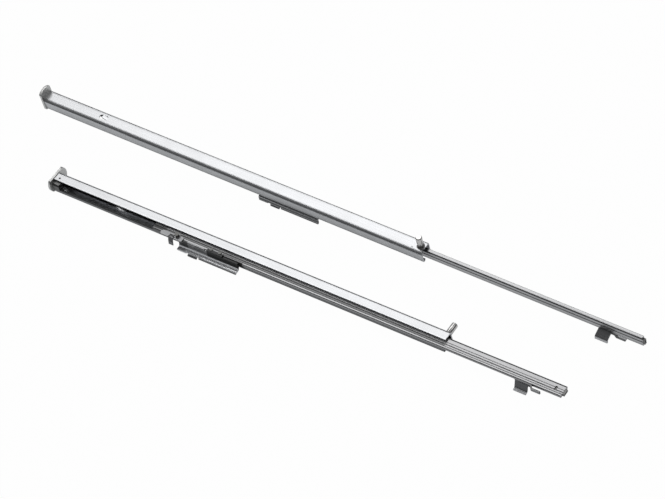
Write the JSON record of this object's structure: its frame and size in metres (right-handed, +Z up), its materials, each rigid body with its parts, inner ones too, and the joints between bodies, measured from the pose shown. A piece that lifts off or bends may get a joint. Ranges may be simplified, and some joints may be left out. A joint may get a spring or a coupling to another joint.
{
  "type": "oven telescopic runner",
  "caption": "Mirror-image pair of ball-bearing telescopic oven rack runners with clip-on wire brackets, latch levers, tray stop plates and pins.",
  "frame": {"origin": "on the floor, at the middle of the ground that the pair takes up", "axes": "+X back along both runners, from the stop plates to the closed rail ends; +Y from the lying right runner to the standing left one; +Z up"},
  "size_m": [0.5814, 0.0851, 0.0318],
  "materials": {
    "rail_steel": "bright plated sheet steel, rolled, with faint lengthwise draw lines",
    "plate_steel": "bright plated pressed steel with rounded sheared edges",
    "bracket_steel": "plated pressed steel, slightly duller than the rails",
    "pin_steel": "turned and plated steel",
    "insert_steel": "plain sheared steel, darker than the rails",
    "cage_steel": "thin punched steel strip",
    "ball_steel": "polished bearing steel",
    "spring_steel": "drawn spring wire"
  },
  "bodies": {
    "fixed_rails": {"left_fixed_rail": "rail_steel", "left_cross_pin": "pin_steel", "left_end_block": "insert_steel", "left_front_bracket": "bracket_steel", "left_bracket_rivets": "pin_steel", "left_rear_clip": "bracket_steel", "left_latch_pivot": "pin_steel", "left_latch_spring": "spring_steel", "right_fixed_rail": "rail_steel", "right_cross_pin": "pin_steel", "right_end_block": "insert_steel", "right_front_bracket": "bracket_steel", "right_bracket_rivets": "pin_steel", "right_rear_clip": "bracket_steel", "right_latch_pivot": "pin_steel", "right_latch_spring": "spring_steel"},
    "left_slider": {"left_moving_rail": "rail_steel", "left_front_plate": "plate_steel", "left_front_insert": "insert_steel", "left_rear_stop": "insert_steel", "left_tray_pin": "pin_steel"},
    "left_ball_carrier": {"left_ball_cage": "cage_steel", "left_upper_balls": "ball_steel", "left_lower_balls": "ball_steel"},
    "left_latch": {"left_latch_lever": "bracket_steel"},
    "right_slider": {"right_moving_rail": "rail_steel", "right_front_plate": "plate_steel", "right_front_insert": "insert_steel", "right_rear_stop": "insert_steel", "right_tray_pin": "pin_steel"},
    "right_ball_carrier": {"right_ball_cage": "cage_steel", "right_upper_balls": "ball_steel", "right_lower_balls": "ball_steel"},
    "right_latch": {"right_latch_lever": "bracket_steel"}
  },
  "joints": [
    {"name": "left_slide", "type": "slide", "parent": "fixed_rails", "child": "left_slider", "axis": [-1, 0, 0], "range_m": [-0.18805, 0.04439]},
    {"name": "left_cage_travel", "type": "slide", "parent": "fixed_rails", "child": "left_ball_carrier", "axis": [-1, 0, 0], "range_m": [-0.09402, 0.02219]},
    {"name": "left_latch_pivot_turn", "type": "hinge", "parent": "fixed_rails", "child": "left_latch", "pos_m": [-0.06812, 0.03984, 0.0084], "axis": [0, 1, 0], "range_deg": [0, 10], "stiffness_Nm_per_rad": 0.05},
    {"name": "right_slide", "type": "slide", "parent": "fixed_rails", "child": "right_slider", "axis": [-0.9999, -0.011, 0], "range_m": [-0.09956, 0.13288]},
    {"name": "right_cage_travel", "type": "slide", "parent": "fixed_rails", "child": "right_ball_carrier", "axis": [-0.9999, -0.011, 0], "range_m": [-0.04978, 0.06644]},
    {"name": "right_latch_pivot_turn", "type": "hinge", "parent": "fixed_rails", "child": "right_latch", "pos_m": [-0.09889, -0.03409, 0.0099], "axis": [0, 0, 1], "range_deg": [-10, 0], "stiffness_Nm_per_rad": 0.05}
  ],
  "couplings": [
    {"joint": "left_cage_travel", "follows": "left_slide", "ratio": 0.5},
    {"joint": "right_cage_travel", "follows": "right_slide", "ratio": 0.5}
  ]
}
